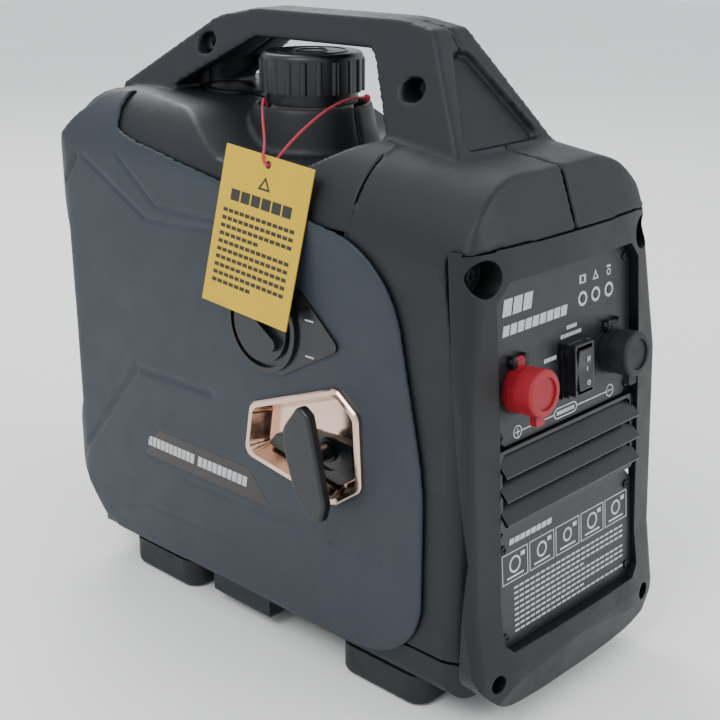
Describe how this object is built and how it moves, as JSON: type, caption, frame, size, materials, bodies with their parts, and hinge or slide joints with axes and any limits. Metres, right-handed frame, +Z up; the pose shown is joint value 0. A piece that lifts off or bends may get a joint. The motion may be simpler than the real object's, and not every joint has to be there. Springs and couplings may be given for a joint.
{
  "type": "portable generator",
  "caption": "Small suitcase generator with a carrying handle, side recoil starter, filler cap and a control panel at one end.",
  "frame": {"origin": "on the plane the feet stand on, at the seam between the two casing halves and midway along the casing", "axes": "+Z up, -Y towards the control panel, -X towards the starter"},
  "size_m": [0.2366, 0.4672, 0.464],
  "materials": {
    "black_plastic": "moulded, fine spark texture",
    "grey_plastic": "moulded, fine spark texture, blue grey",
    "bezel_plastic": "moulded, satin",
    "panel_print": "printed film over plastic",
    "gloss_black": "smooth gloss",
    "cap_plastic": "moulded, semi gloss",
    "red_rubber": "soft, satin",
    "black_rubber": "soft, matt",
    "bright_chrome": "plated, polished",
    "steel": "zinc plated",
    "brass": "bare",
    "cast_aluminium": "cast",
    "copper_steel": "lacquered windings on laminations",
    "cast_iron": "machined",
    "heat_steel": "heat tinted sheet",
    "tank_plastic": "blow moulded, translucent",
    "clear_window": "clear plastic",
    "lamp": "frosted",
    "decal_film": "printed film",
    "tag_card": "coated card",
    "tag_cord": "twisted string",
    "rope": "braided",
    "needle_red": "painted"
  },
  "bodies": {
    "casing": {"base_tray": "black_plastic", "top_shell_left": "black_plastic", "top_shell_right": "black_plastic", "side_cover_left": "grey_plastic", "side_cover_right": "grey_plastic", "side_decal": "decal_film", "rear_cover": "black_plastic", "handle_badge": "bezel_plastic", "front_bezel": "bezel_plastic", "control_plate": "panel_print", "intake_louvres": "gloss_black", "guide_plate": "panel_print", "indicator_lights": "lamp", "socket_bodies": "bezel_plastic", "socket_contacts": "brass", "hinge_pins": "steel", "switch_housing": "gloss_black", "panel_screws": "steel", "casing_screws": "steel", "starter_bezel": "bright_chrome", "starter_cup": "gloss_black", "rope_ferrule": "steel", "recoil_housing": "steel", "knob_plate": "gloss_black", "fuel_valve": "brass", "fuel_hose": "black_rubber", "fuel_neck": "tank_plastic", "filler_seal": "black_rubber", "fuel_tank": "tank_plastic", "gauge_can": "cap_plastic", "gauge_window": "clear_window", "crankcase": "cast_aluminium", "crank_bearings": "steel", "stator": "copper_steel", "cylinder": "cast_aluminium", "cylinder_head": "cast_aluminium", "spark_plug": "steel", "carburettor": "cast_aluminium", "air_filter_box": "bezel_plastic", "muffler": "heat_steel", "engine_mounts": "black_rubber", "control_module": "cast_aluminium", "oil_cap": "black_plastic", "rubber_feet": "black_rubber", "warning_tag": "tag_card", "tag_string": "tag_cord", "string_knot": "tag_cord"},
    "filler_lift": {"fuel_cap_gasket": "black_rubber"},
    "fuel_cap": {"fuel_cap": "cap_plastic"},
    "starter_pull": {"starter_grip": "cap_plastic", "starter_rope": "rope"},
    "recoil_pulley": {"starter_pulley": "bezel_plastic"},
    "fuel_knob": {"fuel_knob": "cap_plastic"},
    "rocker": {"rocker_switch": "gloss_black"},
    "cap_negative": {"socket_cap_negative": "black_rubber"},
    "cap_positive": {"socket_cap_positive": "red_rubber"},
    "crank": {"crankshaft": "steel", "flywheel_fan": "cast_aluminium", "rotor_magnets": "cast_iron"},
    "gauge_needle": {"gauge_needle": "needle_red"}
  },
  "joints": [
    {"name": "fuel_cap_lift", "type": "slide", "parent": "casing", "child": "filler_lift", "axis": [0, 0, 1], "range_m": [0, 0.0081]},
    {"name": "fuel_cap_turn", "type": "hinge", "parent": "filler_lift", "child": "fuel_cap", "pos_m": [0, 0.036, 0.407], "axis": [0, 0, 1], "range_deg": [0, 720]},
    {"name": "starter_pull", "type": "slide", "parent": "casing", "child": "starter_pull", "axis": [-1, 0, 0], "range_m": [0, 0.45], "stiffness_N_per_m": 12, "springref_m": -0.05, "deforming": ["starter_rope"]},
    {"name": "recoil_pulley_turn", "type": "hinge", "parent": "casing", "child": "recoil_pulley", "pos_m": [0, -0.074, 0.128], "axis": [0, 1, 0], "range_deg": [-600, 5]},
    {"name": "fuel_knob_turn", "type": "hinge", "parent": "casing", "child": "fuel_knob", "pos_m": [-0.108, -0.021, 0.257], "axis": [1, 0, 0], "range_deg": [0, 90]},
    {"name": "rocker_tilt", "type": "hinge", "parent": "casing", "child": "rocker", "pos_m": [0.008, -0.2106, 0.24139], "axis": [1, 0, 0], "range_deg": [-8, 8]},
    {"name": "cap_negative_open", "type": "hinge", "parent": "casing", "child": "cap_negative", "pos_m": [0.0537, -0.20549, 0.26204], "axis": [-1, 0, 0], "range_deg": [0, 95]},
    {"name": "cap_positive_open", "type": "hinge", "parent": "casing", "child": "cap_positive", "pos_m": [-0.0537, -0.20549, 0.26204], "axis": [-1, 0, 0], "range_deg": [0, 95]},
    {"name": "crank_spin", "type": "hinge", "parent": "casing", "child": "crank", "pos_m": [0, 0.03, 0.128], "axis": [0, 1, 0], "continuous": true},
    {"name": "gauge_needle_turn", "type": "hinge", "parent": "casing", "child": "gauge_needle", "pos_m": [0.002, 0.129, 0.3973], "axis": [0, -0.0738, 0.9973], "range_deg": [-60, 60]}
  ],
  "couplings": [
    {"joint": "fuel_cap_lift", "follows": "fuel_cap_turn", "m_per_rad": 0.0006366},
    {"joint": "recoil_pulley_turn", "follows": "starter_pull", "rad_per_m": -22}
  ]
}
